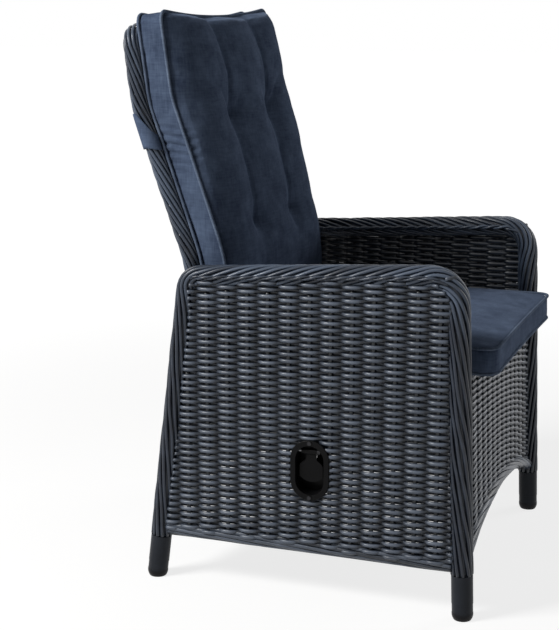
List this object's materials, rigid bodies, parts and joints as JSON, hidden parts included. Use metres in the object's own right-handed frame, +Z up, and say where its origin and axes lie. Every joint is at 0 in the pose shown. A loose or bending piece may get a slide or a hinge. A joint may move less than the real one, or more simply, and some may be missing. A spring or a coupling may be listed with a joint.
{
  "type": "reclining garden armchair",
  "caption": "Woven garden armchair with a reclining cushioned back on a lockable gas spring, released by a side lever and cable.",
  "frame": {"origin": "on the ground, midway between the sides and near the middle of the depth", "axes": "+Z up, -Y the way the sitter faces, +X to the sitter's left; the lever is at -X"},
  "size_m": [0.6639, 0.704, 1.056],
  "materials": {
    "cushion_cloth": "woven outdoor cloth, matt",
    "strap_cloth": "woven outdoor cloth, matt",
    "wicker_braid": "flat extruded strand, satin",
    "wicker_weave": "flat extruded strand, satin",
    "foot_plastic": "moulded, satin",
    "webbing": "woven elastic webbing",
    "lever_plastic": "moulded, half gloss",
    "bush_plastic": "moulded nylon",
    "polished_steel": "ground and polished",
    "gas_tube": "black lacquer",
    "zinc_steel": "zinc plated",
    "sheath_plastic": "smooth black jacket",
    "coated_frame": "powder coated"
  },
  "bodies": {
    "base": {"anchor_bracket": "coated_frame", "anchor_pin": "zinc_steel", "arm_wrap_left": "wicker_braid", "arm_wrap_right": "wicker_braid", "cable_sheath": "sheath_plastic", "cross_webbing": "webbing", "foot_glide_front_left": "foot_plastic", "foot_glide_front_right": "foot_plastic", "foot_glide_rear_left": "foot_plastic", "foot_glide_rear_right": "foot_plastic", "front_apron_weave": "wicker_weave", "front_arch_rail": "coated_frame", "front_leg_sleeves": "foot_plastic", "housing_screws": "zinc_steel", "inner_cable": "zinc_steel", "lever_axle": "zinc_steel", "lever_housing": "lever_plastic", "lever_spring": "zinc_steel", "long_webbing": "webbing", "pivot_bolts": "zinc_steel", "pivot_brackets": "coated_frame", "pivot_nuts": "zinc_steel", "rear_apron_weave": "wicker_weave", "rear_arch_rail": "coated_frame", "rear_leg_sleeves": "foot_plastic", "rear_top_rail": "coated_frame", "seat_bolts": "zinc_steel", "seat_cushion": "cushion_cloth", "seat_front_rail": "coated_frame", "seat_middle_rail": "coated_frame", "seat_rear_rail": "coated_frame", "seat_side_rail_left": "coated_frame", "seat_side_rail_right": "coated_frame", "seat_spacers": "bush_plastic", "side_bottom_rail_left": "coated_frame", "side_bottom_rail_right": "coated_frame", "side_frame_left": "coated_frame", "side_frame_right": "coated_frame", "side_seat_rail_left": "coated_frame", "side_seat_rail_right": "coated_frame", "side_weave_left": "wicker_weave", "side_weave_right": "wicker_weave"},
    "back": {"back_cushion": "cushion_cloth", "back_frame": "coated_frame", "back_lower_tube": "coated_frame", "back_weave": "wicker_weave", "back_wrap": "wicker_braid", "cushion_strap": "strap_cloth", "gas_fork": "coated_frame", "gas_pin": "zinc_steel", "hinge_plate_left": "coated_frame", "hinge_plate_right": "coated_frame", "pivot_bushes": "bush_plastic"},
    "spring_rod": {"gas_rod": "polished_steel", "release_head": "zinc_steel", "release_pin": "zinc_steel"},
    "spring_body": {"gas_body": "gas_tube"},
    "lever": {"lever_paddle": "lever_plastic"},
    "release": {"release_arm": "zinc_steel"}
  },
  "joints": [
    {"name": "back_recline", "type": "hinge", "parent": "base", "child": "back", "pos_m": [0, 0.07, 0.445], "axis": [-1, 0, 0], "range_deg": [0, 28.5]},
    {"name": "gas_swing", "type": "hinge", "parent": "base", "child": "spring_rod", "pos_m": [0, -0.14031, 0.36746], "axis": [-1, 0, 0], "range_deg": [0, 0.6]},
    {"name": "gas_slide", "type": "slide", "parent": "spring_rod", "child": "spring_body", "axis": [0, -1, 0], "range_m": [0, 0.0395]},
    {"name": "lever_pull", "type": "hinge", "parent": "base", "child": "lever", "pos_m": [-0.319, -0.025, 0.283], "axis": [0, 1, 0], "range_deg": [0, 22], "stiffness_Nm_per_rad": 0.3, "deforming": ["inner_cable"]},
    {"name": "release_turn", "type": "hinge", "parent": "spring_rod", "child": "release", "pos_m": [0, -0.12631, 0.35046], "axis": [1, 0, 0], "range_deg": [0, 26]}
  ],
  "couplings": [
    {"joint": "gas_swing", "follows": "back_recline", "ratio": 0.017204},
    {"joint": "gas_slide", "follows": "back_recline", "m_per_rad": 0.079133},
    {"joint": "release_turn", "follows": "lever_pull", "ratio": 1.1667}
  ]
}
